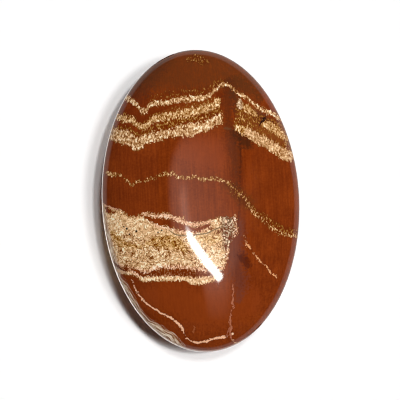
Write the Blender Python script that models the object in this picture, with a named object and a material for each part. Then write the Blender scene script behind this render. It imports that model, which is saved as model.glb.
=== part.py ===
"""Red jasper palm stone: one polished oval pebble that lies on a small flat spot ground into its belly.

Run it with blender --background --python part.py, or from the text editor.
Metres, +Z up, the long axis along Y. The origin is the middle of the flat spot.
"""

import math

import bmesh
import bpy

# The stone as measured with a calliper: long axis, short axis, and the two sides of its widest line
LENGTH = 0.063
WIDTH = 0.0411
CROWN_HEIGHT = 0.0072
BELLY_DEPTH = 0.0078

# How much fuller than an ellipsoid the two ends of the long axis are ground
END_FULLNESS = 0.415
# The flat spot's axes, as a share of the outline's
FLAT_SHARE = 0.30

# Facets: points round the outline, and rings from the widest line to the crown's summit and to the flat spot
POINTS_AROUND = 84
CROWN_RINGS = 16
BELLY_RINGS = 14

JASPER_RED = (0.19, 0.032, 0.008, 1.0)
POLISHED_ROUGHNESS = 0.06
SMOOTH_UP_TO = math.radians(20.0)


def clear_scene():
    """Removes whatever the scene holds, so that only the stone is left in it."""
    for old in list(bpy.data.objects):
        bpy.data.objects.remove(old)


def jasper():
    """Polished red jasper, in its plain ground colour."""
    material = bpy.data.materials.new("red_jasper")
    material.use_nodes = True
    surface = material.node_tree.nodes["Principled BSDF"]
    surface.inputs["Base Color"].default_value = JASPER_RED
    surface.inputs["Roughness"].default_value = POLISHED_ROUGHNESS
    surface.inputs["Metallic"].default_value = 0.0
    return material


def around(step):
    """The outline's angle at one of its points, counted from +X."""
    return 2.0 * math.pi * step / POINTS_AROUND


def fullness(reach, angle):
    """How much a section's height grows towards the ends of the long axis: 1 on the short axis."""
    return math.sqrt(1.0 + END_FULLNESS * (reach * math.sin(angle)) ** 2)


def crown_ring(rise):
    """One ring of the crown, rise being the angle from the widest line at 0 to the summit at a quarter turn.

    The section is an ellipse: its reach shrinks with the cosine and its height grows with the sine.
    """
    reach = math.cos(rise)
    return [
        (
            WIDTH / 2 * reach * math.cos(around(step)),
            LENGTH / 2 * reach * math.sin(around(step)),
            BELLY_DEPTH + CROWN_HEIGHT * math.sin(rise) * fullness(reach, around(step)),
        )
        for step in range(POINTS_AROUND)
    ]


def belly_ring(dip):
    """One ring of the belly, dip being the angle from the widest line at 0 to the flat spot at a quarter turn.

    The same elliptic section as the crown's, but it closes on the edge of the flat spot and not on a summit.
    """
    bow = math.cos(dip)
    reach = FLAT_SHARE + (1.0 - FLAT_SHARE) * bow
    return [
        (
            WIDTH / 2 * reach * math.cos(around(step)),
            LENGTH / 2 * reach * math.sin(around(step)),
            BELLY_DEPTH - BELLY_DEPTH * math.sin(dip) * fullness(bow, around(step)),
        )
        for step in range(POINTS_AROUND)
    ]


def close_loop(mesh, ring):
    """Puts a ring's points into the mesh and joins them into a closed loop of edges."""
    points = [mesh.verts.new(place) for place in ring]
    return [mesh.edges.new((points[step - 1], points[step])) for step in range(POINTS_AROUND)]


def palm_stone():
    """The stone: rings bridged from the flat spot up over the widest line, and closed at the summit."""
    quarter = math.pi / 2
    rings = [belly_ring(quarter * ring / BELLY_RINGS) for ring in range(BELLY_RINGS, 0, -1)]
    rings += [crown_ring(quarter * ring / CROWN_RINGS) for ring in range(CROWN_RINGS)]

    mesh = bmesh.new()
    loops = [close_loop(mesh, ring) for ring in rings]
    bmesh.ops.contextual_create(mesh, geom=loops[0])
    for lower, upper in zip(loops, loops[1:]):
        bmesh.ops.bridge_loops(mesh, edges=lower + upper)
    summit = mesh.verts.new((0.0, 0.0, BELLY_DEPTH + CROWN_HEIGHT))
    for edge in loops[-1]:
        mesh.faces.new((*edge.verts, summit))
    bmesh.ops.recalc_face_normals(mesh, faces=mesh.faces)

    data = bpy.data.meshes.new("stone")
    mesh.to_mesh(data)
    mesh.free()
    data.shade_smooth()
    data.set_sharp_from_angle(angle=SMOOTH_UP_TO)
    data.materials.append(jasper())
    stone = bpy.data.objects.new("stone", data)
    bpy.context.scene.collection.objects.link(stone)
    return stone


clear_scene()
palm_stone()
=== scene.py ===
"""Looks of a red jasper palm stone: its polish, its beds and veins, and the light it was seen in.

The stone lies on a white table and is seen from straight above, with its top leaning a little to the left.
"""

import math

import bpy
import numpy as np
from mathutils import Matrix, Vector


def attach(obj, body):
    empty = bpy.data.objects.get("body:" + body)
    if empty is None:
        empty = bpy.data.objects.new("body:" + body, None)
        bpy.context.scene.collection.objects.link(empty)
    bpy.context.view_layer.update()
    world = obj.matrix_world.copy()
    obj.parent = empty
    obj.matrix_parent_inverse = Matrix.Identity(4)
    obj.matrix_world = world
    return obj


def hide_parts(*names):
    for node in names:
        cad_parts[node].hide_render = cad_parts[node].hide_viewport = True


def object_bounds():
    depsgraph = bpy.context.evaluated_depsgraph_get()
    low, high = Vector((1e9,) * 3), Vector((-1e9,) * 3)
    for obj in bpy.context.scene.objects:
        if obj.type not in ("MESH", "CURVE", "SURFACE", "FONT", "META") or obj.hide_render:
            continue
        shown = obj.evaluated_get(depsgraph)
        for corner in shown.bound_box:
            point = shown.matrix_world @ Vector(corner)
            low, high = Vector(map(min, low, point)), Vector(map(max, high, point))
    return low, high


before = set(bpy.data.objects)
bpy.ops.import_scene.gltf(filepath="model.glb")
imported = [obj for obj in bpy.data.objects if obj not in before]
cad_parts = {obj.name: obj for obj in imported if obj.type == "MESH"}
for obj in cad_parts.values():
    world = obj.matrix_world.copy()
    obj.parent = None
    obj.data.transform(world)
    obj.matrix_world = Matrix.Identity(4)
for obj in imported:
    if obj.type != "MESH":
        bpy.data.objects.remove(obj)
cad_low, cad_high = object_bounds()

# The stone's own sizes, in metres
LENGTH = cad_high.y - cad_low.y
WIDTH = cad_high.x - cad_low.x
BELLY_DEPTH = 0.0078
CROWN_HEIGHT = cad_high.z - BELLY_DEPTH
END_FULLNESS = 0.415
FLAT_SHARE = 0.30

# The fine surface: points round the outline, and rings over the flat spot, the belly and the crown
POINTS_AROUND = 360
FLAT_RINGS = 14
BELLY_RINGS = 90
CROWN_RINGS = 130

# The photograph: its width in pixels, where the stone's middle lies, the outline's length, and its lean
PICTURE = 400
MIDDLE = np.array([200.6, 201.0])
OUTLINE_LENGTH = 302.3
LEAN = math.radians(3.25)
PIXEL = LENGTH / OUTLINE_LENGTH

# The camera: a long lens, straight above
LENS = 110.0
SENSOR = 36.0
CAMERA_DISTANCE = PIXEL * PICTURE * LENS / SENSOR
CAMERA_NEAR = 0.01
PIXEL_FILTER = 1.1

# The rock: a crystal's width, length and depth in millimetres, and how its layers lean and wander in the
# belly, in millimetres for each millimetre of depth
MILLIMETRE = 0.001
CRYSTAL = (0.30, 0.50, 0.4)
BELLY_LEAN = (0.3, 0.55, 0.0)
BELLY_WANDER = 1.1
# How unevenly crystals reach past the edges of the beds, in millimetres
SEAM_SPIKES = 0.6
BED_SPIKES = 1.5
BLOCK_SPIKES = 1.2
LOWER_BED_SPIKES = 1.1
# The polish: quartz, rubbed to a gloss
POLISH_ROUGHNESS = 0.06
QUARTZ_IOR = 1.54

# Routes read off the photograph, in its pixels: a seam's points are (right, down, how wide it is there),
# and the points of a bed's top, foot or end are (right, down)

# The upper beds with their dust, and the fault's left side, where the broader ones end
TOP_SEAM = [
    (121, 95.5, 6.5), (128, 98.5, 7), (134, 103, 6.5), (139, 107.5, 6), (143.5, 111.5, 6),
    (149, 106.5, 6.5), (156, 103, 6), (165, 102.5, 5.5), (174, 100.5, 5.5), (190, 99, 6), (202, 98, 5.5),
    (210, 95.5, 5), (214, 91, 4), (218, 88.5, 3.8), (221, 85, 3.6), (226, 84.5, 3.4), (231, 87.4, 2.8),
    (235.5, 91.2, 2.8), (240, 95, 3.4), (245, 96.8, 4.4), (251, 101.6, 4), (257, 106.5, 4.6),
    (265, 111, 4.6), (273, 114.2, 5), (283, 121, 5),
]
TOP_DUST = [
    (150, 99, 4), (160, 96.5, 7), (175, 94.5, 9), (195, 93, 9), (208, 89.5, 8), (215, 84.5, 7),
    (224, 80, 4),
]
TIP_SPECKS = [(188, 59, 4), (194, 58, 10), (201, 60, 10), (208, 61, 4)]
GOLD_TOP = [
    (117, 111, 2), (126, 114, 4), (135, 118, 4), (143, 123.5, 4), (150, 117.5, 5), (162, 113, 6),
    (177, 109, 6.5), (190, 107, 6), (206, 103, 6), (218, 98, 6), (223, 96, 4),
]
GOLD_SEAM = [
    (117, 117, 5), (121, 118.5, 7), (130, 119.5, 8), (139, 125.5, 7), (143.5, 128, 6), (149, 123, 7),
    (156, 119, 7), (167, 117, 8), (177, 114, 8.5), (188, 113, 9), (198, 110.5, 8), (209, 107, 8),
    (216, 103, 9), (222, 100, 8),
]
GOLD_DUST = [
    (112, 127, 3), (121, 128, 5), (130, 129, 5), (137, 134, 4), (143.5, 133, 3), (152, 128.5, 5),
    (163, 126, 6), (174, 123, 6), (184, 120, 5.5), (198, 117.5, 6), (209.5, 114, 6), (222, 109, 6),
]
BROAD_BED_TOP = [
    (112, 128), (123, 129.5), (130, 130.5), (136.5, 136), (143.5, 135.5), (152, 132), (163, 130.5),
    (174, 127), (184, 123.5), (198, 122), (209.5, 119), (216, 115.5), (224, 113),
]
BROAD_BED_FOOT = [
    (110, 139.5), (123, 143.5), (130, 146), (138, 151), (143.5, 147), (149, 143), (160, 141),
    (170, 137.5), (181, 136.5), (191, 136.5), (198, 133.5), (209.5, 130), (216, 126), (224, 121.5),
]
FAULT_LEFT = [(221, 80), (220.5, 92), (221, 104), (222.5, 116), (223, 132)]

# The block right of the fault
FAULT_RIGHT = [(240, 96), (237, 106), (235, 113), (234.5, 121), (234.5, 128), (238, 136)]
OFFSET_BED_TOP = [
    (234, 123), (242, 126), (251.4, 129), (258.6, 133.3), (266, 136.4), (274, 141.5), (283, 147.2),
    (295, 153),
]
OFFSET_BED_FOOT = [
    (234, 130), (242, 134.6), (249.5, 138.8), (256.5, 143.6), (263, 147.4), (270.5, 152), (277.5, 156.6),
    (284, 160.4), (295, 160.6),
]
OFFSET_GROUND_TOP = [
    (234, 108), (238, 103), (242, 102), (249, 107), (257, 113.5), (265, 117), (275, 120), (288, 127),
]
OFFSET_GROUND_FOOT = [
    (234, 127), (242, 130.5), (249, 135), (260, 139.5), (270, 143.5), (277, 147.5), (290, 154),
]
OLIVE_COLUMN = [
    (240.5, 109, 4), (240, 113, 9), (240, 118, 11), (240.5, 124, 12), (241, 129, 9), (242, 133, 4),
]
GREY_PATCH = [(239.8, 99, 2), (239.6, 102, 4.6), (239.6, 105.5, 6.2), (240, 108, 5)]
ORANGE_PATCH = [(244.5, 105, 4), (248, 109, 8), (252.5, 112.5, 6), (257, 115.5, 2.5)]
GOLD_BLOB = [
    (261, 126, 2), (265.5, 124.5, 6), (270, 127, 9.5), (276, 130.5, 10), (281, 134, 8), (287, 139, 4),
]
RED_STREAK = [(256, 127, 2), (262, 130.5, 4), (270, 135, 4.5), (277, 139.5, 4), (285, 144.5, 3)]
# A crack running down-left from a small hole; the hole's dark is painted shade
BLOCK_CRACK_AND_HOLE_SHADE = [
    (265, 116.8, 1.2), (264.2, 118.6, 3.2), (262.8, 120.8, 2.8), (261, 123.2, 1.4), (259.4, 125.4, 0.7),
]

# The line of specks, and how it falls to the right
SPECK_LINE = [
    (106, 173, 2.5), (113, 175, 4.5), (119, 175, 3.5), (124.6, 179, 2.6), (129.5, 182, 2.6),
    (133, 185.5, 2.2), (136.5, 182, 2.6), (143.5, 181.5, 2), (149, 179, 2.2), (155, 178, 2.4),
    (163, 174.5, 3.6), (171, 173.5, 4.5), (178, 177.5, 3.2), (186, 178, 3.2), (194, 177, 4),
    (202, 179.5, 3), (210, 178.5, 3.2), (219.6, 180, 2.8), (228, 182.5, 2.2),
]
SPECK_FALL = [
    (226, 181.5, 2), (233.7, 188, 1.6), (239, 193, 1.4), (245, 198.5, 1.8), (249, 205.5, 3.6),
    (253, 211.5, 5), (257.5, 216, 4.6), (262, 219.5, 3.8), (267, 223.5, 3.4), (272, 228, 3.2),
    (277, 231.5, 3.4), (284, 234, 3.8), (291, 236, 4), (299, 237, 4),
]
OLIVE_DUST = [
    (220, 179, 2), (227, 183, 6), (233, 188.5, 9), (239, 195, 11), (245, 201, 10), (250, 207, 6),
    (254, 212, 2),
]
FALL_DUST = [
    (249, 203, 4), (257, 212, 6), (265, 218, 7), (273, 224, 8.5), (281, 229, 9), (289, 231.5, 9),
    (298, 234, 7),
]

# The lower bed, with its red lens, its zones and its foot
LOWER_BED_TOP = [
    (100, 203.5), (108, 207), (113, 208.6), (120, 210), (126, 213.3), (131.5, 216.6), (135.5, 216),
    (141, 213.5), (145, 212.2), (150, 212.8), (156, 213.8), (161, 213.2), (169, 213.8), (175, 216),
    (181.7, 217.8), (186, 220.2), (190, 221.8), (198, 222.3), (204, 221.5), (210, 219.2), (216, 217.8),
    (222, 217), (230, 216.6), (236, 214), (244, 212),
]
LOWER_BED_FOOT = [
    (104, 259), (116, 263.5), (123, 268.5), (131, 268), (138, 271), (146, 273.8), (152.5, 271.2),
    (158, 269.5), (170, 269.5), (181, 269.2), (191, 270.5), (205, 271.2), (214, 272), (224, 271),
    (244, 266),
]
LOWER_BED_RIGHT = [
    (235.5, 209), (236, 217), (237, 224), (238.5, 231), (235, 236), (230.5, 241), (228.8, 250),
    (228, 258), (226, 265), (223, 271), (215, 279),
]
RED_LENS = [
    (142.5, 215.8, 2), (147, 217.6, 3.8), (151, 219.2, 4.8), (155, 220.8, 5.6), (160, 221.8, 6.6),
    (165, 222.2, 7.2), (170, 223.2, 7.8), (175, 224.6, 7.8), (181.7, 226.9, 6.8), (188, 228.4, 5.4),
    (194, 229.2, 4.8), (198.3, 228.8, 5), (202.5, 227.3, 4.2), (206.7, 226, 3.2), (210.5, 224.8, 1.4),
]
LENS_RIDGE = [
    (142, 214, 1.5), (145.5, 214, 3), (150, 215, 3.8), (156, 216.5, 4.4), (161, 216.1, 5),
    (169, 216.8, 5.2), (175, 218.7, 4.6), (181.7, 220.8, 4.8), (186, 222.8, 4.2), (190, 224.1, 3.8),
    (194.2, 224.6, 4), (198.3, 224.4, 3.4), (202.5, 223.5, 3), (206.7, 222.8, 2.6), (211, 221.3, 1.8),
]
LENS_FOOT = [
    (150, 222, 1), (156, 225.4, 2), (164, 227.4, 2.2), (172, 229.4, 2.2), (180, 231.6, 2.2),
    (188, 232.8, 2.2), (198, 232.8, 2.2), (206, 229.6, 1.8), (211, 227, 1),
]
RED_CORNER = [(105.5, 209.5, 2), (109.5, 211.3, 5), (113, 211.8, 3.5), (115.5, 211.8, 1)]
HAIRLINE_CRACK = [
    (169, 230, 0.8), (172, 232.3, 1.3), (176, 234.5, 1.4), (184, 235.5, 1.4), (198, 234.5, 1.4),
    (207, 233.2, 1.4), (212.6, 230.5, 1.4), (219.6, 227.5, 1.2), (222, 226.5, 0.8),
]
CALM_TOP = [
    (104, 222, 12), (112, 222, 19), (126, 225, 19), (140, 227, 19), (150, 230, 12), (162, 231, 6),
    (180, 233, 4),
]
OCHRE_ZONE = [
    (143, 246, 2), (150, 243, 8), (158, 241.5, 12), (167, 241.5, 15), (176, 243, 15), (184, 247, 12),
    (190, 251, 5),
]
OCHRE_RIGHT = [(197, 236, 4), (204, 239, 9), (211, 240, 10), (218, 239, 7), (222, 238, 3)]
OCHRE_CORNER = [
    (110, 231, 3), (114, 236, 9), (119, 241, 11), (126, 245.5, 8), (134, 246.5, 6), (141, 246.5, 4),
]
ASH_ZONE = [
    (228, 214, 7), (228, 221, 13), (228, 230, 13), (227.5, 237, 10), (226.5, 243, 6), (225, 249, 3),
]
PALE_END = [(200, 236, 6), (206, 244, 20), (212, 254, 24), (216, 264, 16)]
RAGGED_END = [
    (235, 213, 2), (235.5, 221, 5), (236.5, 229, 6), (234.5, 236, 6), (230, 242, 5), (228.5, 251, 4),
    (227.5, 262, 4), (224, 270, 2),
]
BED_CURLS = [
    [(121, 247, 1.0), (125.9, 242.8, 1.7), (131, 242.4, 1.7), (135, 245.8, 1.8), (140.8, 249, 1.2)],
    [(145, 246, 1.0), (149, 242, 1.7), (153.5, 239, 1.8), (161.7, 238, 1.7), (168, 235.5, 1.0)],
    [
        (121, 259, 0.8), (127, 261.5, 1.5), (133, 262.5, 1.7), (140, 260.5, 1.5), (147, 258, 1.5),
        (154, 259.5, 0.8),
    ],
    [(160, 256, 0.8), (166, 252.5, 1.5), (173, 251.5, 1.7), (180, 254, 1.5), (187, 258.5, 0.8)],
    [(170, 244, 0.8), (176, 241, 1.7), (182, 243, 1.7), (188, 248, 1.4), (194, 251, 0.8)],
    [(106, 238, 0.8), (110, 234.5, 1.6), (114, 236, 2.0), (118, 240, 2.0), (122, 243, 1.0)],
    [(112, 250, 0.8), (118, 254, 1.5), (124, 255.5, 1.5), (131, 253, 1.5), (138, 254, 0.8)],
    [(146, 260, 0.8), (151, 262.5, 1.5), (157, 261, 1.5), (163, 262, 0.8)],
]
ROSY_FOOT = [
    (114, 262, 3), (124, 267, 4), (140, 271, 5), (148, 272.5, 5), (156, 268, 5), (172, 267.5, 5),
    (190, 268.5, 5), (210, 270, 5), (222, 268, 3),
]
STRIP_DUST = [
    (118, 268, 2), (130, 270.5, 4), (142, 275, 4), (152, 274, 5), (180, 273.5, 5.5), (195, 275, 5),
    (210, 275, 4), (222, 273, 2),
]
FOOT_SEAM = [
    (117, 269.5, 2), (124, 272.5, 3.4), (131.5, 273, 4), (138, 275.5, 4.4), (143.5, 279.5, 5),
    (152.5, 278.7, 5), (163, 278, 5), (174, 278.7, 5), (183, 278.5, 4.6), (191, 280.5, 7),
    (200, 280.8, 7.6), (208, 279.5, 6.5), (215, 278.5, 4), (221, 276, 2.5),
]

# The layered bed at the left edge
EDGE_BED_TOP = [
    (104, 206), (108.5, 225), (113, 243), (117.5, 258), (120, 268), (122.8, 277.7), (126.8, 281.7),
    (130.4, 288), (134.5, 295.5), (138.6, 302.7), (142.7, 310.3), (148.8, 317.4), (156, 321.5),
    (161, 324.6), (168.7, 329.7), (175.3, 333.5), (181.4, 341.4), (186, 348),
]
EDGE_BED_FOOT = [(60, 240), (100, 330), (150, 370)]

# The thin veins
DARK_START = [(111, 259, 0.6), (114, 262.6, 1.4), (118, 266.6, 1.8), (122, 269.6, 1.6), (126, 270.4, 0.8)]
SEAM_START = [(112.5, 267.5, 1), (116, 270, 2.2), (120.5, 271.6, 2.8), (125, 272.6, 2)]
CRISP_VEIN = [
    (131.8, 280.5, 0.6), (133.4, 284, 1.1), (136, 290, 1.4), (139.5, 295.5, 1.5), (143.5, 300.5, 1.7),
    (148.5, 305, 1.8), (153, 307.5, 2), (159.5, 312.3, 1.7), (166.5, 315.5, 2), (173.5, 319.5, 2.1),
    (178.5, 323.5, 2), (182.3, 329.3, 1.8), (184.6, 334.3, 0.8),
]
CRISP_VEIN_END = [
    (187.4, 338.4, 1), (192.5, 341.5, 2), (198, 342.5, 2.4), (205, 341.5, 2.4), (214, 338.5, 2.2),
    (221, 337.5, 2.6), (226.5, 336.8, 1.8),
]
STANDING_VEIN = [
    (233, 285, 0.8), (233.5, 291, 1.5), (233, 297, 1.8), (232.5, 302, 2), (233.3, 306, 1.5),
    (231.6, 310, 1.2), (230.7, 314, 1.2), (230.5, 318, 1.6), (229.8, 322, 1.6), (231, 327, 2),
    (230.5, 332, 1.7), (230.5, 336, 1.5), (233, 340, 1.6), (234.5, 342.5, 1.3),
]
STANDING_BRANCH = [(229.4, 327.5, 0.8), (228, 331, 1.2), (227, 336, 1.4)]
STANDING_FOOT = [(233, 339.5, 1.2), (235, 342.5, 1.5), (240, 343, 1.2), (246, 342, 0.8)]
DOTTED_LINE = [
    (245.4, 237, 0.7), (246, 241, 1), (247, 245, 1.9), (250.3, 248.6, 1.7), (253, 253, 0.4),
    (256.5, 257, 1.2), (261, 262, 0.8), (266.4, 266.6, 1.1), (270.5, 272, 0.8), (275.5, 276.5, 1.9),
]
SMALL_MARK = [(194, 326.5, 0.8), (194, 329, 1.6), (193.6, 332, 0.8)]
CORNER_LINE = [
    (102.5, 203.5, 0.7), (106, 205.8, 1.3), (109.5, 207.2, 1.5), (114, 208.2, 1.4), (118, 209.6, 0.8),
]

# Stains in the red, and painted shade along the upper-left rim, in the same form as the seams
BROWN_CROWN = [(124, 62, 30), (150, 64, 56), (200, 62, 60), (240, 62, 56), (262, 70, 40)]
# Painted shade: a dark band along the upper-left rim
RIM_SHADE_BAND = [(128, 96, 14), (138, 88, 24), (150, 74, 22), (166, 60, 12)]
RIGHT_CROWN = [(230, 79, 6), (240, 84, 14), (250, 90, 13), (260, 98, 8)]
WARM_FOOT = [
    (140, 296, 10), (165, 298, 28), (190, 304, 40), (215, 308, 40), (240, 304, 36), (258, 300, 16),
]
WARM_MIDDLE = [(176, 152, 6), (190, 152, 24), (204, 152, 34), (216, 154, 34), (223, 156, 18)]
DARK_RED_GROUND = [
    (118, 112, 5), (130, 114, 9), (140, 119, 9), (143.5, 121, 8), (150, 115, 8), (160, 110, 9),
    (177, 107, 9), (198, 104, 9), (214, 98, 9), (222, 94, 6),
]
FAULT_STAIN = [
    (230, 78, 4), (229, 86, 12), (228.5, 98, 13), (228, 108, 9), (228, 118, 7), (229.5, 128, 9),
    (233, 138, 12), (235, 150, 11), (236, 165, 9), (236, 185, 5),
]
BRIGHT_STRIP = [(249, 150, 5), (249, 175, 7), (249, 205, 7), (248, 244, 6)]
PLUM_FLANK = [
    (239, 222, 6), (238, 235, 12), (235, 250, 16), (236, 268, 16), (240, 284, 12), (238, 300, 6),
]
FAULT_LINE = [
    (240, 95, 1), (240.5, 130, 1.6), (240.5, 158, 1.6), (240, 175, 0.9), (239.5, 200, 0.6),
    (238, 226, 0.6),
]
FAULT_SMUDGE = [(224, 128.6, 0.8), (226.5, 128.3, 2), (230, 128.8, 2), (232.5, 129.4, 0.8)]
APEX_SHADE = [(231, 89, 3), (235, 96, 9), (237, 103, 8), (236, 111, 4)]
ORANGE_GROUND = [
    (158, 117, 3), (167, 114, 7), (177, 111, 9), (190, 109, 10), (205, 105, 12), (213, 103, 12),
    (217, 101.5, 7),
]
BLOCK_GROUND = [
    (240, 111, 12), (246, 114, 20), (255, 120, 22), (265, 127, 20), (275, 134, 18), (284, 141, 12),
]
# Painted shade: a thin dark line along the upper-left rim
RIM_SHADE_LINE = [
    (139, 87, 0.8), (144, 80, 1.6), (150, 73, 1.6), (157, 66.5, 1.6), (165, 61, 1.6), (174, 56.5, 0.8),
]
FOOT_SMUDGE = [(233, 131, 4), (238, 135, 9), (243, 139.5, 13), (248, 144, 11), (251, 147, 4)]
OLIVE_DUSTING = [(222, 183, 3), (231, 188, 9), (239, 195, 12), (246, 201, 12), (252, 207, 6)]
PLUM_MOTTLES = [(238, 256, 4), (242, 259, 10), (247, 262, 11), (251, 265, 5)]
BLOCK_SHADE = [(252, 112, 3), (257, 115, 9), (262, 118.5, 11), (267, 121, 7), (271, 123, 3)]

# Round marks: right, down, and how far each reaches from its middle
# The pits: dark spots of painted shade, standing in for the shade inside small hollows
PIT_SHADE_SPOTS = [
    (126.8, 228.7, 1.15), (123.8, 226.7, 0.8), (136.3, 231.2, 1.15), (129.5, 234.3, 0.85),
    (158, 232.5, 0.8), (161.7, 230.3, 0.9),
]
CREAM_SPOTS = [(232.6, 333.8, 1.1), (226, 221.5, 1.3)]

# What the polish mirrors, in the photograph's pixels: the tube lamp's streak, and the fainter end of it
STREAK = [
    (188.2, 230), (190.6, 233), (195.2, 239.2), (203.8, 251.5), (214.3, 265), (223.4, 276.5),
    (218.6, 282), (214, 276), (203.2, 263.3), (194, 250.8), (189.4, 243.5), (187, 237.8), (186.6, 232.5),
]
STREAK_TIP = [(185.6, 224.6), (186.8, 225), (188.6, 229.6), (187.8, 233), (186.2, 232)]
STREAK_GLOW = 36.0
TIP_GLOW = 12.0
TUBE_TONE = (1.0, 0.97, 0.92, 1.0)
LAMP_HEIGHT = 0.6

# The window's veil: the part of the picture it covers, and the points of its sheet across and along
VEIL_ACROSS = (158, 252, 50)
VEIL_ALONG = (118, 322, 70)
# Its left side, how it fades away from that side, where the fading is slower, and where it ends on the right
VEIL_SIDE_DOWN = [118, 140, 156, 176, 208, 230, 240, 256, 270, 288, 322]
VEIL_SIDE_RIGHT = [184, 179, 172, 168, 169, 172, 180, 190, 195, 203, 208]
VEIL_FALL_AWAY = [-1, 3, 7, 15, 27, 35, 43, 51, 59, 70]
VEIL_FALL_GLOW = [0.0, 0.5, 0.68, 0.64, 0.52, 0.44, 0.38, 0.26, 0.12, 0.0]
VEIL_STEADY = 12
VEIL_WIDER_DOWN = [150, 190, 230, 270]
VEIL_WIDER = [1.0, 1.2, 1.45, 1.2]
VEIL_END_DOWN = [118, 150, 180, 200, 226, 240, 256, 266, 272, 300, 322]
VEIL_END_RIGHT = [243, 247, 256, 260, 252, 246, 245, 241, 238, 237, 236]
VEIL_END_FADE = 14
# How strong it is from top to bottom
VEIL_DOWN = [118, 134, 146, 160, 200, 276, 288, 300, 312, 322]
VEIL_DOWN_SHARE = [0.0, 0.2, 0.6, 0.85, 1.0, 1.1, 0.85, 0.45, 0.25, 0.0]
# The brighter band along its left side: how far it shifts to the right, and where it comes and goes
BAND_GLOW = 0.75
BAND_DOWN = [176, 200, 216, 230]
BAND_SHIFT = [0, 0, 1.5, 6]
BAND_ACROSS = (177.5, 5, 190, 6)
BAND_ALONG = (175, 26, 238, 12)
WINDOW_HEIGHT = 0.7
WINDOW_TONE = (2.3, 1.43, 1.16, 1.0)

# The bright line at the stone's left edge: how strong it glows at each turn in degrees
EDGE_TURN = [102, 120, 150, 180, 210, 240, 270, 305]
EDGE_GLOW = [1.8, 1.8, 1.5, 2.2, 3.0, 2.0, 1.6, 1.6]
# How far out it reaches and how high it lies, in metres, and round which turn it reaches further
EDGE_REACH = 0.010
EDGE_LIFT = 0.0002
EDGE_FOOT_TURN = 268
EDGE_FOOT_SPREAD = 40
EDGE_FOOT_WIDER = 1.8
# How fast it comes and goes at its two ends, in radians, and its points around and outward
EDGE_FADE = (0.6, 0.35)
EDGE_POINTS = (60, 8)
EDGE_TONE = (1.0, 0.95, 0.90, 1.0)

# The broad lights: name, azimuth, elevation and angle across in degrees, and share of the table's white
SUNS = [
    ("window_light", 25.3, 70.6, 4.6, 0.397),
    ("second_window_light", 0.8, 62.9, 11.3, 0.351),
    ("lamp_light", 61.7, 69.2, 6.9, 0.250),
]
ROOM_SEEN = (1.0, 1.0, 1.0, 1.0)
ROOM_IN_POLISH = (0.02, 0.02, 0.02, 1.0)
ROOM_FILL = (0.017, 0.013, 0.011, 1.0)

# The table: half its width and how far it lies under the stone, in metres, and its white
TABLE_HALF = 3.0
TABLE_DROP = 0.00001
TABLE_WHITE = 1.0
TABLE_IN_POLISH = (0.62, 0.60, 0.56)
# It darkens in the polish between these two ways from the stone, in metres, down to this share
FADING_OUT = (0.03, 0.4)
FAR_TABLE = 0.12


def turned(away):
    """Steps in the picture, in pixels right and down, as metres along the stone's short and long axis."""
    right = away[..., 0] * PIXEL
    down = away[..., 1] * PIXEL
    x = right * math.cos(LEAN) - down * math.sin(LEAN)
    y = -(right * math.sin(LEAN) + down * math.cos(LEAN))
    return np.stack([x, y], axis=-1)


def crown_height(x, y):
    """Height of the crown over its widest line.

    An ellipse in every section, and fuller towards the ends: the crown's height, times the root of one less
    the squared reach, times the root of one plus the end fullness times the squared share lengthwise.
    """
    lengthwise = (y / (LENGTH / 2)) ** 2
    reach = (x / (WIDTH / 2)) ** 2 + lengthwise
    fuller = np.sqrt(1 + END_FULLNESS * np.clip(lengthwise, 0, 1))
    return CROWN_HEIGHT * np.sqrt(np.clip(1 - reach, 0, 1)) * fuller


def on_stone(points):
    """Where points of the picture lie on the stone, in metres from its middle, and how high on the crown.

    What stands above the widest line is nearer to the camera and looks larger, so each place is shrunk
    towards the picture's centre by its height over the camera's distance, and its height is read again.
    """
    from_centre = np.asarray(points, float) - PICTURE / 2
    shift = PICTURE / 2 - MIDDLE
    height = np.zeros(from_centre.shape[:-1])
    rounds = 8
    for _ in range(rounds):
        place = turned(from_centre * (1 - height / CAMERA_DISTANCE)[..., None] + shift)
        height = crown_height(place[..., 0], place[..., 1])
    return place, height


CAMERA_PLACE = turned(PICTURE / 2 - MIDDLE)
CAMERA_POINT = np.array([CAMERA_PLACE[0], CAMERA_PLACE[1], BELLY_DEPTH + CAMERA_DISTANCE])


def mirrored(points, lamp_height):
    """Where a lamp hangs, at that height over the table, to be mirrored at those points of the picture.

    The ray from the camera is turned back about the crown's normal, and followed up to the lamp's height.
    """
    place, height = on_stone(points)
    x, y = place[:, 0], place[:, 1]
    step = 1e-6
    slope_x = (crown_height(x + step, y) - crown_height(x - step, y)) / (2 * step)
    slope_y = (crown_height(x, y + step) - crown_height(x, y - step)) / (2 * step)
    normal = np.stack([-slope_x, -slope_y, np.ones(len(place))], axis=1)
    normal /= np.linalg.norm(normal, axis=1, keepdims=True)
    polish = np.column_stack([place, BELLY_DEPTH + height])
    ray = polish - CAMERA_POINT
    ray -= 2 * np.sum(ray * normal, axis=1, keepdims=True) * normal
    return polish + ray * ((lamp_height - polish[:, 2]) / ray[:, 2])[:, None]


def placed(name, data):
    """A new object of that data at the origin, in the scene."""
    thing = bpy.data.objects.new(name, data)
    bpy.context.scene.collection.objects.link(thing)
    return thing


def emptied(owner):
    """The nodes and the links of a material or a world, with none of either left in it."""
    owner.use_nodes = True
    owner.node_tree.nodes.clear()
    return owner.node_tree.nodes, owner.node_tree.links


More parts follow.
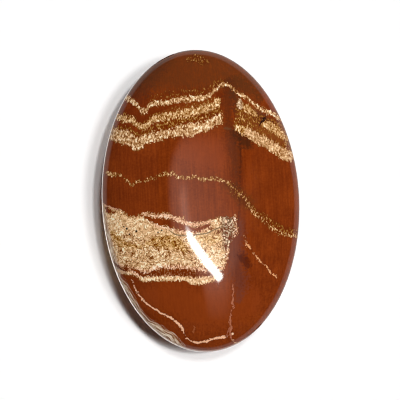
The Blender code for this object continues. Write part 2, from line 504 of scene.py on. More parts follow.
def surface_rings():
    """The stone as rings of points, from the flat spot's middle round the widest line to the summit.

    Flat spot: the outline shrunk evenly. Belly: reach and depth are the cosine and sine of the dip, with the
    cosine mapped onto the ring between the flat spot's edge and the outline. Crown: the same over the whole
    reach. Both heights grow by the root of one plus the end fullness times the squared share lengthwise.
    """
    turn = np.linspace(0, 2 * np.pi, POINTS_AROUND, endpoint=False)
    flat = np.linspace(0, FLAT_SHARE, FLAT_RINGS + 1)[1:-1]
    dip = np.linspace(np.pi / 2, 0, BELLY_RINGS, endpoint=False)
    rise = np.linspace(0, np.pi / 2, CROWN_RINGS, endpoint=False)
    bow = np.cos(dip)
    reach = np.concatenate([flat, FLAT_SHARE + (1 - FLAT_SHARE) * bow, np.cos(rise)])
    height_sine = np.concatenate([np.full(len(flat), -1.0), -np.sin(dip), np.sin(rise)])
    fuller_at = np.concatenate([np.zeros(len(flat)), bow, np.cos(rise)])
    half_height = np.where(height_sine < 0, BELLY_DEPTH, CROWN_HEIGHT)
    fullness = np.sqrt(1 + END_FULLNESS * (fuller_at[:, None] * np.sin(turn)) ** 2)
    x = WIDTH / 2 * reach[:, None] * np.cos(turn)
    y = LENGTH / 2 * reach[:, None] * np.sin(turn)
    z = BELLY_DEPTH + (half_height * height_sine)[:, None] * fullness
    return np.stack([x, y, z], axis=-1)


def polished_stone():
    """The stone's skin: its rings joined by quads, and closed by a fan of triangles at both poles."""
    rings = surface_rings()
    count = rings.shape[0]
    poles = [[0, 0, 0], [0, 0, BELLY_DEPTH + CROWN_HEIGHT]]
    points = np.concatenate([rings.reshape(-1, 3), poles])
    index = np.arange(count * POINTS_AROUND).reshape(count, POINTS_AROUND)
    ahead = np.roll(index, -1, axis=1)
    quads = np.stack([index[:-1], ahead[:-1], ahead[1:], index[1:]], axis=-1).reshape(-1, 4)
    under, summit = len(points) - 2, len(points) - 1
    lower_fan = np.column_stack([ahead[0], index[0], np.full(POINTS_AROUND, under)])
    upper_fan = np.column_stack([index[-1], ahead[-1], np.full(POINTS_AROUND, summit)])
    mesh = bpy.data.meshes.new("polished_stone")
    mesh.from_pydata(points.tolist(), [], quads.tolist() + lower_fan.tolist() + upper_fan.tolist())
    mesh.shade_smooth()
    return placed("polished_stone", mesh)


def tone(red, green, blue):
    """A colour as the eye reads it off a screen, 0 to 255, as light."""
    share = np.array([red, green, blue]) / 255
    light = np.where(share <= 0.04045, share / 12.92, ((share + 0.055) / 1.055) ** 2.4)
    return (*(float(part) for part in light), 1.0)


class Paint:
    """A material's node tree written as sums: each method adds nodes and gives back what comes out."""

    def __init__(self, name):
        self.material = bpy.data.materials.new(name)
        self.material.use_nodes = True
        self.tree = self.material.node_tree
        self.surface = self.tree.nodes["Principled BSDF"]

    def feed(self, socket, value):
        """Links a result to a socket, or sets a plain value on it."""
        if isinstance(value, bpy.types.NodeSocket):
            self.tree.links.new(value, socket)
        else:
            socket.default_value = value

    def sum(self, operation, *values):
        """One step of arithmetic."""
        node = self.tree.nodes.new("ShaderNodeMath")
        node.operation = operation
        for socket, value in zip(node.inputs, values):
            self.feed(socket, value)
        return node.outputs[0]

    def vector(self, operation, *values, scale=None):
        """One step of arithmetic with places."""
        node = self.tree.nodes.new("ShaderNodeVectorMath")
        node.operation = operation
        for socket, value in zip(node.inputs, values):
            self.feed(socket, value)
        if scale is not None:
            self.feed(node.inputs["Scale"], scale)
        return node.outputs["Value" if operation in ("DOT_PRODUCT", "LENGTH") else "Vector"]

    def noise(self, place, per_millimetre, detail=2.0, roughness=0.5, colour=False):
        """Even random clouds, about 0.5 in the middle."""
        node = self.tree.nodes.new("ShaderNodeTexNoise")
        self.feed(node.inputs["Vector"], place)
        node.inputs["Scale"].default_value = per_millimetre
        node.inputs["Detail"].default_value = detail
        node.inputs["Roughness"].default_value = roughness
        return node.outputs["Color" if colour else 0]

    def waver(self, place, per_millimetre, detail=1.0, roughness=0.5):
        """Even random clouds, about 0 in the middle and half a unit up and down at most."""
        return self.sum("SUBTRACT", self.noise(place, per_millimetre, detail, roughness), 0.5)

    def threads(self, place, per_millimetre):
        """How far the clouds are from their middle: 0 along worm-like lines, and more beside them."""
        return self.sum("ABSOLUTE", self.waver(place, per_millimetre))

    def adrift(self, place, per_millimetre, reach, detail=1.0):
        """The place, moved by slow random clouds, at most by half that reach each way."""
        clouds = self.noise(place, per_millimetre, detail, colour=True)
        away = self.vector("SUBTRACT", clouds, (0.5, 0.5, 0.5))
        return self.vector("ADD", place, self.vector("SCALE", away, scale=reach))

    def outside(self, depth):
        """A depth counted the other way, for what stays clear of a bed or a seam."""
        return self.sum("MULTIPLY", depth, -1.0)

    def step(self, value, low, high, result_low=0.0, result_high=1.0, smooth=True):
        """Goes from one result to the other while the value goes from low to high."""
        node = self.tree.nodes.new("ShaderNodeMapRange")
        node.interpolation_type = "SMOOTHSTEP" if smooth else "LINEAR"
        for socket, number in zip(node.inputs, (value, low, high, result_low, result_high)):
            self.feed(socket, number)
        return node.outputs[0]

    def share_of(self, share, result_low, result_high):
        """Goes evenly from one result to the other while the share goes from 0 to 1."""
        return self.step(share, 0.0, 1.0, result_low, result_high, smooth=False)

    def profile(self, value, starts, heights):
        """A smooth line drawn through listed points: the height that it has at that value, all in
        millimetres.
        """
        low, least_span = min(heights), 1e-3
        span = max(max(heights) - low, least_span)
        share = self.step(value, starts[0], starts[-1], smooth=False)
        node = self.tree.nodes.new("ShaderNodeFloatCurve")
        line = node.mapping.curves[0].points
        for start, height in zip(starts[1:-1], heights[1:-1]):
            line.new((start - starts[0]) / (starts[-1] - starts[0]), (height - low) / span)
        line[0].location = (0.0, (heights[0] - low) / span)
        line[-1].location = (1.0, (heights[-1] - low) / span)
        for point in line:
            point.handle_type = "AUTO_CLAMPED"
        node.mapping.update()
        self.feed(node.inputs["Value"], share)
        return self.sum("MULTIPLY_ADD", node.outputs[0], span, low)

    def blend(self, share, first, second):
        """Colour between two, by a share."""
        node = self.tree.nodes.new("ShaderNodeMix")
        node.data_type = "RGBA"
        self.feed(node.inputs["Factor"], share)
        self.feed(node.inputs["A"], first)
        self.feed(node.inputs["B"], second)
        return next(out for out in node.outputs if out.type == "RGBA")

    def ladder(self, value, rungs):
        """Colour that runs through the rungs as the value goes from 0 to 1."""
        node = self.tree.nodes.new("ShaderNodeValToRGB")
        band = node.color_ramp
        while len(band.elements) < len(rungs):
            band.elements.new(0.5)
        for element, (start, colour) in zip(band.elements, rungs):
            element.position = start
            element.color = colour
        self.feed(node.inputs[0], value)
        return node.outputs[0]


def bearings(heading):
    """The directions along and across a route that runs at that heading, in degrees from the short axis."""
    angle = math.radians(heading)
    return (math.cos(angle), math.sin(angle), 0.0), (-math.sin(angle), math.cos(angle), 0.0)


def on_route(points, heading):
    """A route's points as distances along and across its heading, in millimetres on the stone."""
    place, _ = on_stone([point[:2] for point in points])
    along, across = bearings(heading)
    return (place @ along[:2] / MILLIMETRE).tolist(), (place @ across[:2] / MILLIMETRE).tolist()


def beside(paint, place, points, heading):
    """How far a place lies to the left of a route, in millimetres, for one who follows its heading."""
    starts, heights = on_route(points, heading)
    along, across = bearings(heading)
    line = paint.profile(paint.vector("DOT_PRODUCT", place, along), starts, heights)
    return paint.sum("SUBTRACT", paint.vector("DOT_PRODUCT", place, across), line)


def seam(paint, place, points, heading=0.0):
    """How deep a place lies inside a seam, in millimetres: half its width, less the way from its middle.

    Past both of its ends the width falls below nothing, so the seam closes.
    """
    starts, _ = on_route(points, heading)
    along, _ = bearings(heading)
    halves = [width * PIXEL / MILLIMETRE / 2 for _, _, width in points]
    closing = 1.0
    width = paint.profile(
        paint.vector("DOT_PRODUCT", place, along),
        [starts[0] - closing, *starts, starts[-1] + closing],
        [-closing, *halves, -closing],
    )
    way = paint.sum("ABSOLUTE", beside(paint, place, points, heading))
    return paint.sum("SUBTRACT", width, way)


def bed(paint, place, top, foot, heading=0.0):
    """How deep a place lies inside a bed, in millimetres: the nearer of its ways to the top and the foot."""
    below_top = paint.outside(beside(paint, place, top, heading))
    return paint.sum("MINIMUM", below_top, beside(paint, place, foot, heading))


def spot(paint, place, mark):
    """How deep a place lies inside a round mark, in millimetres."""
    (x, y), _ = on_stone(mark[:2])
    from_centre = paint.vector("SUBTRACT", place, (x / MILLIMETRE, y / MILLIMETRE, 0.0))
    way = paint.vector("LENGTH", paint.vector("MULTIPLY", from_centre, (1.0, 1.0, 0.0)))
    return paint.sum("SUBTRACT", mark[2] * PIXEL / MILLIMETRE, way)


def strata(paint):
    """The place in the rock's own layers, in millimetres.

    Above the widest line the layers stand upright. Below it they lean away, more and more unevenly, so the
    underside shows the same beds in other places.
    """
    place = paint.tree.nodes.new("ShaderNodeTexCoord").outputs["Object"]
    place = paint.vector("SCALE", place, scale=1 / MILLIMETRE)
    split = paint.tree.nodes.new("ShaderNodeSeparateXYZ")
    paint.feed(split.inputs[0], place)
    depth = paint.sum("SUBTRACT", BELLY_DEPTH / MILLIMETRE, split.outputs["Z"])
    depth = paint.sum("MAXIMUM", depth, 0.0)
    wandering = paint.adrift(place, 0.09, paint.sum("MULTIPLY", depth, BELLY_WANDER), detail=2.0)
    return paint.vector("ADD", wandering, paint.vector("SCALE", BELLY_LEAN, scale=depth))


def crystals(paint, calm):
    """The cream mineral's crystals, short prisms that stand across the layers.

    Gives the place of each one's middle, its own random shade, and the way from its middle, 0 there and
    about 1 at its edge.
    """
    swirled = paint.adrift(calm, 0.6, 1.6)
    node = paint.tree.nodes.new("ShaderNodeTexVoronoi")
    node.inputs["Scale"].default_value = 1.0
    paint.feed(node.inputs["Vector"], paint.vector("DIVIDE", swirled, CRYSTAL))
    middle = paint.vector("MULTIPLY", node.outputs["Position"], CRYSTAL)
    middle = paint.vector("ADD", calm, paint.vector("SUBTRACT", middle, swirled))
    shade = paint.tree.nodes.new("ShaderNodeSeparateColor")
    paint.feed(shade.inputs[0], node.outputs["Color"])
    return middle, shade.outputs[0], node.outputs["Distance"]


def marbling(paint, calm):
    """The lower bed's texture, about 0 in the middle: crumbs and clouds, with thin bright and dark curls."""
    curled = paint.adrift(calm, 0.5, 2.2)
    elsewhere = paint.vector("ADD", curled, (9, 5, 3))
    crumbs = paint.waver(calm, 2.6, roughness=0.6)
    clouds = paint.waver(paint.vector("MULTIPLY", calm, (0.6, 1.0, 1.0)), 0.75)
    bright_curls = paint.step(paint.threads(curled, 1.1), 0.0, 0.07, 1.5, -0.3)
    dark_curls = paint.step(paint.threads(elsewhere, 1.0), 0.0, 0.05, -2.3, 0.3)
    texture = paint.sum("MULTIPLY_ADD", crumbs, 4.3, bright_curls)
    texture = paint.sum("MULTIPLY_ADD", clouds, 2.4, texture)
    return paint.sum("ADD", texture, dark_curls)


def grain(paint, calm, shade, way):
    """The other beds' texture, about 0 in the middle: crystals by shade and edge, crumbs, and threads."""
    crumbs = paint.waver(paint.vector("MULTIPLY", calm, (1.25, 0.72, 1.0)), 2.6, roughness=0.6)
    threads = paint.step(paint.threads(calm, 1.0), 0.0, 0.09, 0.75, -0.3)
    texture = paint.sum("MULTIPLY_ADD", crumbs, 8.5, paint.sum("MULTIPLY", threads, 0.8))
    texture = paint.sum("MULTIPLY_ADD", paint.sum("SUBTRACT", shade, 0.5), 1.6, texture)
    return paint.sum("ADD", texture, paint.step(way, 0.25, 0.7, 0.35, -0.65))


def patch_spread(softness):
    """How unevenly the edge of a stain or of painted shade runs, in millimetres: little on a crisp one, and
    more the softer it is.
    """
    crisp = 0.5
    return 1.0 + 1.6 * softness if softness > crisp else 0.75


def ground(paint, calm):
    """The red: fine streaks along the long axis, slow clouds of brown and orange, fine dust, the stained
    patches, and painted shade along the upper-left rim.

    Each patch, stain and painted shade alike, has its route, the route's heading, a colour, how strongly it
    covers, and how softly it ends.
    """
    streaks = paint.noise(paint.vector("MULTIPLY", calm, (2.6, 0.12, 2.6)), 1.0, 2.0, 0.6)
    clouds = paint.noise(calm, 0.16, 4.0, 0.7)
    dusting = paint.noise(calm, 2.4, 1.0)
    shade = paint.sum("ADD", paint.sum("MULTIPLY", streaks, 0.35), paint.sum("MULTIPLY", clouds, 0.4))
    shade = paint.sum("MULTIPLY_ADD", dusting, 0.25, shade)
    red = paint.ladder(
        paint.step(shade, 0.38, 0.62, smooth=False),
        [(0.0, tone(111, 42, 9)), (0.5, tone(124, 50, 12)), (1.0, tone(137, 58, 15))],
    )
    streaky = paint.step(streaks, 0.36, 0.64, 0.95, 0.6, smooth=False)
    patches = [
        (BROWN_CROWN, 0, tone(106, 52, 20), streaky, 4.0),
        # painted shade: dark band along the upper-left rim
        (RIM_SHADE_BAND, 35, tone(80, 44, 26), 0.45, 2.4),
        (RIGHT_CROWN, -35, tone(86, 46, 20), 0.65, 2.0),
        (WARM_FOOT, 0, tone(138, 58, 18), 0.75, 4.0),
        (WARM_MIDDLE, 0, tone(144, 60, 18), 0.55, 3.0),
        (DARK_RED_GROUND, 0, tone(108, 38, 6), 0.6, 1.2),
        (FAULT_STAIN, -90, tone(88, 40, 16), 0.66, 1.6),
        (BRIGHT_STRIP, -90, tone(142, 58, 14), 0.4, 1.2),
        (PLUM_FLANK, -90, tone(102, 58, 48), 0.55, 2.4),
        (FAULT_LINE, -90, tone(70, 28, 12), 0.6, 0.5),
        (FAULT_SMUDGE, 0, tone(112, 76, 46), 0.45, 0.4),
        (APEX_SHADE, -60, tone(80, 44, 22), 0.7, 1.2),
        (ORANGE_GROUND, 0, tone(158, 80, 28), 0.6, 1.6),
        (BLOCK_GROUND, -35, tone(138, 76, 32), 0.6, 1.6),
        # painted shade: thin dark line along the upper-left rim
        (RIM_SHADE_LINE, 45, tone(70, 40, 26), 0.5, 0.5),
        (FOOT_SMUDGE, -45, tone(64, 34, 16), 0.75, 1.8),
        (OLIVE_DUSTING, -40, tone(82, 46, 18), 0.5, 1.8),
        (PLUM_MOTTLES, 0, tone(66, 22, 14), 0.6, 1.6),
        (BLOCK_SHADE, -35, tone(76, 38, 28), 0.65, 1.6),
    ]
    speckle = paint.waver(calm, 2.1, 2.0, 0.6)
    for points, heading, colour, strength, softness in patches:
        depth = seam(paint, calm, points, heading)
        depth = paint.sum("MULTIPLY_ADD", speckle, patch_spread(softness), depth)
        red = paint.blend(paint.step(depth, -softness / 2, softness / 2, 0.0, strength), red, colour)
    return paint.vector("SCALE", red, scale=paint.step(streaks, 0.35, 0.65, 0.975, 1.025, smooth=False))


def upper_beds(paint, place):
    """The beds, seams and dust from the top down to the line of specks, in the order in which they are laid.

    Each has its depth, and its heart's lightness, unevenness and share of gold. The grey patch's depth is
    given as well. Spikes make the edges ragged, as long crystals across the bed do.
    """
    left_of_fault = paint.outside(beside(paint, place, FAULT_LEFT, -90))
    right_of_fault = beside(paint, place, FAULT_RIGHT, -90)
    spikes = paint.waver(paint.vector("MULTIPLY", place, (2.6, 1.1, 1.0)), 1.0)

    def inside(points, heading=0.0):
        return seam(paint, place, points, heading)

    def spiked(depth, length):
        return paint.sum("MULTIPLY_ADD", spikes, length, depth)

    gold_seam = paint.sum("MINIMUM", inside(GOLD_SEAM), left_of_fault)
    left_bed = paint.sum("MINIMUM", bed(paint, place, BROAD_BED_TOP, BROAD_BED_FOOT), left_of_fault)
    block = bed(paint, place, OFFSET_GROUND_TOP, OFFSET_GROUND_FOOT)
    offset_bed = paint.sum("MINIMUM", bed(paint, place, OFFSET_BED_TOP, OFFSET_BED_FOOT), right_of_fault)
    grey_patch = inside(GREY_PATCH, -90)
    return [
        (inside(TOP_DUST), 0.22, 0.12, 0.5),
        (inside(TIP_SPECKS), 0.29, 0.13, 0.5),
        (inside(FALL_DUST, -30), 0.28, 0.13, 0.6),
        (inside(OLIVE_DUST, -40), 0.22, 0.12, 0.6),
        (paint.sum("MINIMUM", inside(GOLD_DUST), left_of_fault), 0.33, 0.16, 0.8),
        (paint.sum("MINIMUM", inside(GOLD_TOP), left_of_fault), 0.23, 0.12, 0.6),
        (paint.sum("MINIMUM", block, right_of_fault), 0.29, 0.15, 0.7),
        (spiked(inside(TOP_SEAM), SEAM_SPIKES), 0.70, 0.19, 0.25),
        (spiked(gold_seam, BED_SPIKES), 0.64, 0.18, 0.6),
        (spiked(left_bed, BED_SPIKES), 0.69, 0.18, 0.25),
        (spiked(offset_bed, BLOCK_SPIKES), 0.66, 0.13, 0.2),
        (inside(OLIVE_COLUMN, -90), 0.33, 0.19, 0.8),
        (grey_patch, 0.70, 0.12, 0.0),
        (inside(ORANGE_PATCH, -45), 0.60, 0.14, 0.6),
        (inside(GOLD_BLOB, -15), 0.63, 0.14, 0.6),
        (inside(SPECK_LINE), 0.48, 0.21, 0.5),
        (inside(SPECK_FALL, -38), 0.45, 0.23, 0.4),
    ], grey_patch


def lower_beds(paint, place):
    """The lower bed with its red lens and its foot seam, in the form of the upper beds.

    The depths of the bed itself, and of the rosy fringe along the lens and the foot, are given as well.
    """
    off_lens = paint.outside(seam(paint, place, RED_LENS))
    lower_bed = bed(paint, place, LOWER_BED_TOP, LOWER_BED_FOOT)
    for edge in (
        paint.outside(beside(paint, place, LOWER_BED_RIGHT, -90)),
        off_lens,
        paint.outside(seam(paint, place, RED_CORNER)),
    ):
        lower_bed = paint.sum("MINIMUM", lower_bed, edge)
    lower_bed = paint.sum("MULTIPLY_ADD", paint.waver(place, 1.7), LOWER_BED_SPIKES, lower_bed)
    lens_ridge = paint.sum("MINIMUM", seam(paint, place, LENS_RIDGE), off_lens)
    lens_foot = paint.sum("MINIMUM", seam(paint, place, LENS_FOOT), off_lens)
    strip_dust = seam(paint, place, STRIP_DUST)
    fringe = paint.sum("MAXIMUM", lens_ridge, lens_foot)
    for rosy in (seam(paint, place, ROSY_FOOT), strip_dust):
        fringe = paint.sum("MAXIMUM", fringe, rosy)
    return [
        (strip_dust, 0.26, 0.13, 0.0),
        (lower_bed, 0.70, 0.17, 0.3),
        (lens_ridge, 0.78, 0.12, 0.0),
        (lens_foot, 0.76, 0.12, 0.0),
        (seam(paint, place, FOOT_SEAM), 0.83, 0.11, 0.25),
    ], lower_bed, fringe


def mineral(paint, place, wavy):
    """How much of the cream mineral lies at a place, and of what kind.

    The place is the middle of its crystal, so that beds and seams end in whole crystals, and only the lower
    bed's curls follow the wavy place. Gives the lightness and how uneven it is, the shares of gold, ash and
    rose, and the share of the lower bed.

    The beds and seams are laid one over another, and each falls off to nothing at its edge. Zones then make
    the lightness and the unevenness more or less.
    """
    upper, grey_patch = upper_beds(paint, place)
    lower, lower_bed, fringe = lower_beds(paint, place)
    bare, edge = 0.1, 0.2
    lightness, uneven, gold = bare, 0.0, 0.0
    for depth, heart, roughness, gold_here in upper + lower:
        share = paint.step(depth, -edge, edge)
        lightness = paint.sum("MAXIMUM", lightness, paint.share_of(share, bare, heart))
        uneven = paint.share_of(share, uneven, roughness)
        gold = paint.share_of(share, gold, gold_here)
    zones = {
        "ochre": (OCHRE_ZONE, 0, 0.82), "ochre corner": (OCHRE_CORNER, -25, 0.83),
        "ochre right": (OCHRE_RIGHT, 0, 0.86), "calm": (CALM_TOP, 0, 1.09), "ash": (ASH_ZONE, -90, 0.58),
        "pale": (PALE_END, -75, 1.13), "red": (RED_STREAK, -30, 0.45), "ragged": (RAGGED_END, -90, 0.88),
    }
    shares = {}
    for zone, (points, heading, factor) in zones.items():
        shares[zone] = paint.step(seam(paint, place, points, heading), -0.6, 0.7)
        lightness = paint.sum("MULTIPLY", lightness, paint.share_of(shares[zone], 1.0, factor))
    for points in BED_CURLS:
        curl = paint.step(seam(paint, wavy, points), -0.12, 0.12, 1.0, 0.8)
        lightness = paint.sum("MULTIPLY", lightness, curl)
    for zone in ("ochre", "ochre corner", "ochre right"):
        gold = paint.sum("MAXIMUM", gold, shares[zone])
    for zone, factor in (("calm", 0.68), ("ash", 1.3), ("ragged", 1.9)):
        uneven = paint.sum("MULTIPLY", uneven, paint.step(shares[zone], 0.0, 1.0, 1.0, factor))
    ash = paint.sum("MAXIMUM", shares["ash"], paint.step(grey_patch, -edge, edge, 0.0, 0.5))
    rose = paint.step(fringe, -0.3, 0.4, 0.0, 0.75)
    rose = paint.sum("MAXIMUM", rose, paint.sum("MULTIPLY", shares["ragged"], 0.7))
    return lightness, uneven, gold, ash, rose, paint.step(lower_bed, -0.1, 0.3)


def mineral_colour(paint, level, gold, ash, rose):
    """The mineral's colour by its lightness: cream, golden, rosy and ashen, each by its share."""
    cream = paint.ladder(level, [
        (0.20, tone(100, 44, 5)), (0.30, tone(121, 67, 23)), (0.40, tone(144, 93, 49)),
        (0.50, tone(167, 117, 73)), (0.60, tone(190, 144, 100)), (0.70, tone(213, 168, 124)),
        (0.80, tone(237, 192, 148)), (0.90, tone(254, 215, 170)), (1.00, tone(255, 246, 216)),
    ])
    golden = paint.ladder(level, [
        (0.20, tone(100, 46, 2)), (0.30, tone(124, 70, 8)), (0.40, tone(146, 92, 22)),
        (0.50, tone(170, 118, 50)), (0.70, tone(217, 170, 110)), (0.90, tone(254, 214, 158)),
        (1.00, tone(255, 244, 205)),
    ])
    ashen = paint.ladder(level, [
        (0.20, tone(70, 46, 22)), (0.30, tone(96, 70, 44)), (0.40, tone(126, 98, 68)),
        (0.60, tone(178, 146, 114)), (0.80, tone(232, 206, 174)), (1.00, tone(255, 246, 226)),
    ])
    rosy = paint.ladder(level, [
        (0.20, tone(104, 40, 14)), (0.40, tone(150, 86, 52)), (0.60, tone(200, 140, 104)),
        (0.80, tone(242, 186, 150)), (1.00, tone(255, 236, 216)),
    ])
    bedded = paint.blend(rose, paint.blend(gold, cream, golden), rosy)
    return paint.blend(ash, bedded, ashen)


def edge_bed(paint, calm, colour):
    """The bed at the stone's left edge, laid down in thin grey and brown layers that follow its top."""
    heading = -50
    depth = bed(paint, calm, EDGE_BED_TOP, EDGE_BED_FOOT, heading)
    along, _ = bearings(heading)
    flow = paint.tree.nodes.new("ShaderNodeCombineXYZ")
    paint.feed(flow.inputs[0], paint.sum("MULTIPLY", depth, 3.6))
    paint.feed(flow.inputs[1], paint.sum("MULTIPLY", paint.vector("DOT_PRODUCT", calm, along), 0.35))
    layers = paint.noise(flow.outputs[0], 1.0, 3.0, 0.7)
    laid = paint.ladder(paint.step(layers, 0.41, 0.595, smooth=False), [
        (0.0, tone(118, 60, 28)), (0.3, tone(164, 122, 86)), (0.6, tone(212, 182, 150)),
        (1.0, tone(255, 238, 214)),
    ])
    laid = paint.blend(paint.step(depth, 0.1, 1.0, 0.5, 0.0), laid, tone(156, 84, 42))
    streaky = paint.sum("MULTIPLY_ADD", paint.sum("SUBTRACT", layers, 0.5), 2.0, depth)
    return paint.blend(paint.step(streaky, -0.1, 0.5, 0.0, 0.92), colour, laid)


def cracks_and_veins(paint, calm, wavy, shade, colour):
    """The two cracks, the block's one ending in a hole whose dark is painted shade, and the thin veins, each
    vein in a dark fringe and broken up by crystals and crumbs.
    """
    crumbs = paint.waver(calm, 2.6, roughness=0.6)
    crack_and_hole_shade = paint.step(seam(paint, calm, HAIRLINE_CRACK), -0.06, 0.06, 0.0, 0.75)
    colour = paint.blend(crack_and_hole_shade, colour, tone(96, 74, 44))
    # The block's hole and its crack: the hole's dark is painted shade, with no hollow in the surface
    crack_and_hole_shade = paint.step(seam(paint, wavy, BLOCK_CRACK_AND_HOLE_SHADE, -118), -0.1, 0.1, 0.0, 0.9)
    colour = paint.blend(crack_and_hole_shade, colour, tone(40, 20, 16))
    shade = paint.sum("SUBTRACT", shade, 0.5)
    crumbled = 0.65
    for points, heading, vein_tone, broken in [
        (DARK_START, -45, tone(104, 50, 28), 0.12), (SEAM_START, -20, tone(208, 166, 130), 0.18),
        (CRISP_VEIN, -50, tone(250, 194, 154), 0.24), (CRISP_VEIN_END, 0, tone(248, 190, 150), 0.15),
        (STANDING_VEIN, -90, tone(176, 106, 76), 0.24), (STANDING_BRANCH, -90, tone(160, 92, 66), 0.24),
        (STANDING_FOOT, -15, tone(205, 150, 112), 0.18), (DOTTED_LINE, -55, tone(226, 160, 108), 0.33),
        (SMALL_MARK, -90, tone(150, 78, 40), 0.24), (CORNER_LINE, -25, tone(222, 165, 130), 0.18),
    ]:
        vein = seam(paint, wavy, points, heading)
        vein = paint.sum("MULTIPLY_ADD", shade, broken, vein)
        vein = paint.sum("MULTIPLY_ADD", crumbs, crumbled, vein)
        colour = paint.blend(paint.step(vein, -0.3, -0.05, 0.0, 0.3), colour, tone(80, 26, 6))
        colour = paint.blend(paint.step(vein, -0.06, 0.09), colour, vein_tone)
    return colour


def jasper():
    """Polished banded jasper: red ground, the cream mineral, the edge bed, cracks, veins and spots, with
    painted shade along the upper-left rim, in the pits and in the block's hole.
    """
    paint = Paint("red_jasper")
    calm = strata(paint)
    wavy = paint.adrift(calm, 1.1, 0.5)
    middle, shade, way = crystals(paint, calm)
    lightness, uneven, gold, ash, rose, in_lower_bed = mineral(paint, middle, wavy)
    texture = paint.share_of(in_lower_bed, grain(paint, calm, shade, way), marbling(paint, calm))
    level = paint.sum("MULTIPLY_ADD", texture, uneven, lightness)

    colour = ground(paint, calm)
    colour = paint.blend(paint.step(lightness, 0.1, 0.3, 0.0, 0.35), colour, tone(84, 28, 4))
    bedded = mineral_colour(paint, level, gold, ash, rose)
    colour = paint.blend(paint.step(level, 0.25, 0.33), colour, bedded)
    colour = edge_bed(paint, calm, colour)
    colour = cracks_and_veins(paint, calm, wavy, shade, colour)
    for mark in CREAM_SPOTS:
        colour = paint.blend(paint.step(spot(paint, calm, mark), -0.1, 0.1), colour, tone(255, 214, 176))
    # The pits, painted as dark spots of shade; the surface has no hollows there
    for mark in PIT_SHADE_SPOTS:
        colour = paint.blend(paint.step(spot(paint, calm, mark), -0.1, 0.12), colour, tone(34, 16, 8))

    paint.feed(paint.surface.inputs["Base Color"], colour)
    paint.surface.inputs["Roughness"].default_value = POLISH_ROUGHNESS
    paint.surface.inputs["IOR"].default_value = QUARTZ_IOR
    return paint.material


def table():
    """A white table top, wide enough to fill every view, and darker in the polish the further off it is."""
    sides = [(-1, -1), (1, -1), (1, 1), (-1, 1)]
    corners = [(x * TABLE_HALF, y * TABLE_HALF, -TABLE_DROP) for x, y in sides]
    mesh = bpy.data.meshes.new("table")
    mesh.from_pydata(corners, [], [(0, 1, 2, 3)])
    top = placed("table", mesh)
    material = bpy.data.materials.new("white_table")
    nodes, links = emptied(material)
    path = nodes.new("ShaderNodeLightPath")
    matt = nodes.new("ShaderNodeBsdfDiffuse")
    matt.inputs["Color"].default_value = (TABLE_WHITE, TABLE_WHITE, TABLE_WHITE, 1.0)
    mirrored_matt = nodes.new("ShaderNodeBsdfDiffuse")
    place = nodes.new("ShaderNodeTexCoord")
    way = nodes.new("ShaderNodeVectorMath")
    way.operation = "LENGTH"
    fading = nodes.new("ShaderNodeMapRange")
    fading.interpolation_type = "SMOOTHSTEP"
    for socket, number in zip(fading.inputs[1:5], (*FADING_OUT, 1.0, FAR_TABLE)):
        socket.default_value = number
    dimmed = nodes.new("ShaderNodeVectorMath")
    dimmed.operation = "SCALE"
    dimmed.inputs[0].default_value = TABLE_IN_POLISH
    either = nodes.new("ShaderNodeMixShader")
    out = nodes.new("ShaderNodeOutputMaterial")
    links.new(place.outputs["Object"], way.inputs[0])
    links.new(way.outputs["Value"], fading.inputs[0])
    links.new(fading.outputs[0], dimmed.inputs["Scale"])
    links.new(dimmed.outputs[0], mirrored_matt.inputs["Color"])
    links.new(path.outputs["Is Glossy Ray"], either.inputs[0])
    links.new(matt.outputs[0], either.inputs[1])
    links.new(mirrored_matt.outputs[0], either.inputs[2])
    links.new(either.outputs[0], out.inputs["Surface"])
    mesh.materials.append(material)


def lamp(name, places, faces, glow, colour):
    """A lamp that only the polish sees: a sheet through those places, each with its own strength."""
    mesh = bpy.data.meshes.new(name)
    mesh.from_pydata(places.tolist(), [], faces)
    strength = mesh.attributes.new("glow", "FLOAT", "POINT")
    strength.data.foreach_set("value", np.asarray(glow, np.float32))
    sheet = placed(name, mesh)
    material = bpy.data.materials.new(name)
    nodes, links = emptied(material)
    reading = nodes.new("ShaderNodeAttribute")
    reading.attribute_name = "glow"
    light = nodes.new("ShaderNodeEmission")
    light.inputs["Color"].default_value = colour
    out = nodes.new("ShaderNodeOutputMaterial")
    links.new(reading.outputs["Fac"], light.inputs["Strength"])
    links.new(light.outputs[0], out.inputs["Surface"])
    mesh.materials.append(material)
    sheet.visible_camera = False
    sheet.visible_diffuse = False
    sheet.visible_shadow = False


def streak_lamp():
    """The tube lamp, mirrored as a hard white streak."""
    for name, outline, glow in [("tube_lamp", STREAK, STREAK_GLOW), ("tube_end", STREAK_TIP, TIP_GLOW)]:
        face = tuple(range(len(outline)))
        lamp(name, mirrored(outline, LAMP_HEIGHT), [face], [glow] * len(outline), TUBE_TONE)


def smooth(share):
    """Rises gently from 0 to 1 while the share does."""
    share = np.clip(share, 0, 1)
    return share * share * (3 - 2 * share)


def gate(value, start, rise, end, fall):
    """1 between a start and an end, with a gentle rise after the one and a gentle fall before the other."""
    return smooth((value - start) / rise) * smooth((end - value) / fall)


def sheet_faces(rows, columns):
    """The quads of a grid of points that is counted row by row."""
    index = np.arange(rows * columns).reshape(rows, columns)
    corners = [index[:-1, :-1], index[:-1, 1:], index[1:, 1:], index[1:, :-1]]
    return np.stack(corners, axis=-1).reshape(-1, 4)


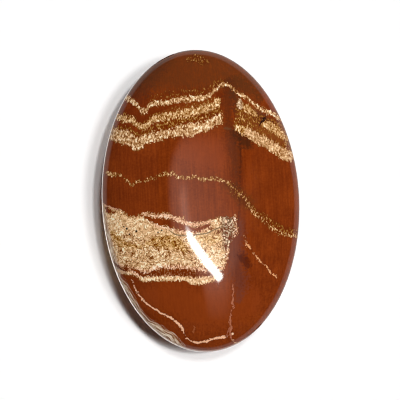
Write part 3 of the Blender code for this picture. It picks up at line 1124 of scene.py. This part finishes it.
def edge_glow():
    """A pale ring on the table round the stone's left side, mirrored in the polish as a fine bright line."""
    around, outward = EDGE_POINTS
    turns = np.radians(np.linspace(EDGE_TURN[0], EDGE_TURN[-1], around))
    turn, out = np.meshgrid(turns, np.linspace(0.0, 1.0, outward))
    foot = np.clip(1 - np.abs(np.degrees(turn) - EDGE_FOOT_TURN) / EDGE_FOOT_SPREAD, 0, 1)
    reach = out * EDGE_REACH * (1 + EDGE_FOOT_WIDER * foot)
    x = (WIDTH / 2 + reach) * np.cos(turn)
    y = (LENGTH / 2 + reach) * np.sin(turn)
    fading = gate(turn, turn.min(), EDGE_FADE[0], turn.max(), EDGE_FADE[1])
    glow = np.interp(np.degrees(turn), EDGE_TURN, EDGE_GLOW) * fading * smooth((1.0 - out) * 3)
    face_up = [0, 3, 2, 1]
    faces = sheet_faces(outward, around)[:, face_up]
    places = np.column_stack([x.ravel(), y.ravel(), np.full(x.size, EDGE_LIFT)])
    lamp("edge_glow", places, faces.tolist(), glow.ravel(), EDGE_TONE)


def window_lamp():
    """The window, mirrored as a soft veil: brightest along its left side, and faded out all round."""
    right, down = np.meshgrid(np.linspace(*VEIL_ACROSS), np.linspace(*VEIL_ALONG))
    inside = right - np.interp(down, VEIL_SIDE_DOWN, VEIL_SIDE_RIGHT)
    slower = VEIL_STEADY + (inside - VEIL_STEADY) / np.interp(down, VEIL_WIDER_DOWN, VEIL_WIDER)
    inside = np.where(inside > VEIL_STEADY, slower, inside)
    glow = np.interp(inside, VEIL_FALL_AWAY, VEIL_FALL_GLOW) * np.interp(down, VEIL_DOWN, VEIL_DOWN_SHARE)
    glow *= smooth((np.interp(down, VEIL_END_DOWN, VEIL_END_RIGHT) - right) / VEIL_END_FADE)
    side = right - np.interp(down, BAND_DOWN, BAND_SHIFT)
    glow += BAND_GLOW * gate(side, *BAND_ACROSS) * gate(down, *BAND_ALONG)
    places = mirrored(np.column_stack([right.ravel(), down.ravel()]), WINDOW_HEIGHT)
    lamp("window_lamp", places, sheet_faces(*right.shape).tolist(), glow.ravel(), WINDOW_TONE)


def sun(name, azimuth, elevation, width, share):
    """A broad far light that the polish doesn't see. Azimuth is counted from +X, width is its angle across.

    Its share is how bright it alone makes the table, where 1 is white.
    """
    data = bpy.data.lights.new(name, "SUN")
    data.energy = share * math.pi / (TABLE_WHITE * math.sin(math.radians(elevation)))
    data.angle = math.radians(width)
    light = placed(name, data)
    light.rotation_euler = (0.0, math.radians(90 - elevation), math.radians(azimuth))
    light.visible_glossy = False


def surroundings():
    """A room that is pale to the camera, dim in the polish, and gives the matt surfaces a little light."""
    world = bpy.data.worlds.new("room")
    bpy.context.scene.world = world
    nodes, links = emptied(world)
    path = nodes.new("ShaderNodeLightPath")
    pale = nodes.new("ShaderNodeBackground")
    pale.inputs["Color"].default_value = ROOM_SEEN
    dim = nodes.new("ShaderNodeBackground")
    dim.inputs["Color"].default_value = ROOM_IN_POLISH
    fill = nodes.new("ShaderNodeBackground")
    fill.inputs["Color"].default_value = ROOM_FILL
    polish = nodes.new("ShaderNodeMixShader")
    seen = nodes.new("ShaderNodeMixShader")
    out = nodes.new("ShaderNodeOutputWorld")
    links.new(path.outputs["Is Glossy Ray"], polish.inputs[0])
    links.new(fill.outputs[0], polish.inputs[1])
    links.new(dim.outputs[0], polish.inputs[2])
    links.new(path.outputs["Is Camera Ray"], seen.inputs[0])
    links.new(polish.outputs[0], seen.inputs[1])
    links.new(pale.outputs[0], seen.inputs[2])
    links.new(seen.outputs[0], out.inputs["Surface"])


def camera():
    """The camera straight above the stone, turned so that the stone's top leans to the left."""
    data = bpy.data.cameras.new("camera")
    data.lens = LENS
    data.sensor_width = SENSOR
    data.clip_start = CAMERA_NEAR
    view = placed("camera", data)
    view.location = CAMERA_POINT
    view.rotation_euler = (0.0, 0.0, -LEAN)
    bpy.context.scene.camera = view


stone = polished_stone()
stone.data.materials.append(jasper())
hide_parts("stone")
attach(stone, "root")
table()
streak_lamp()
window_lamp()
edge_glow()
for light in SUNS:
    sun(*light)
surroundings()
camera()
bpy.context.scene.view_settings.view_transform = "Standard"
bpy.context.scene.cycles.filter_width = PIXEL_FILTER
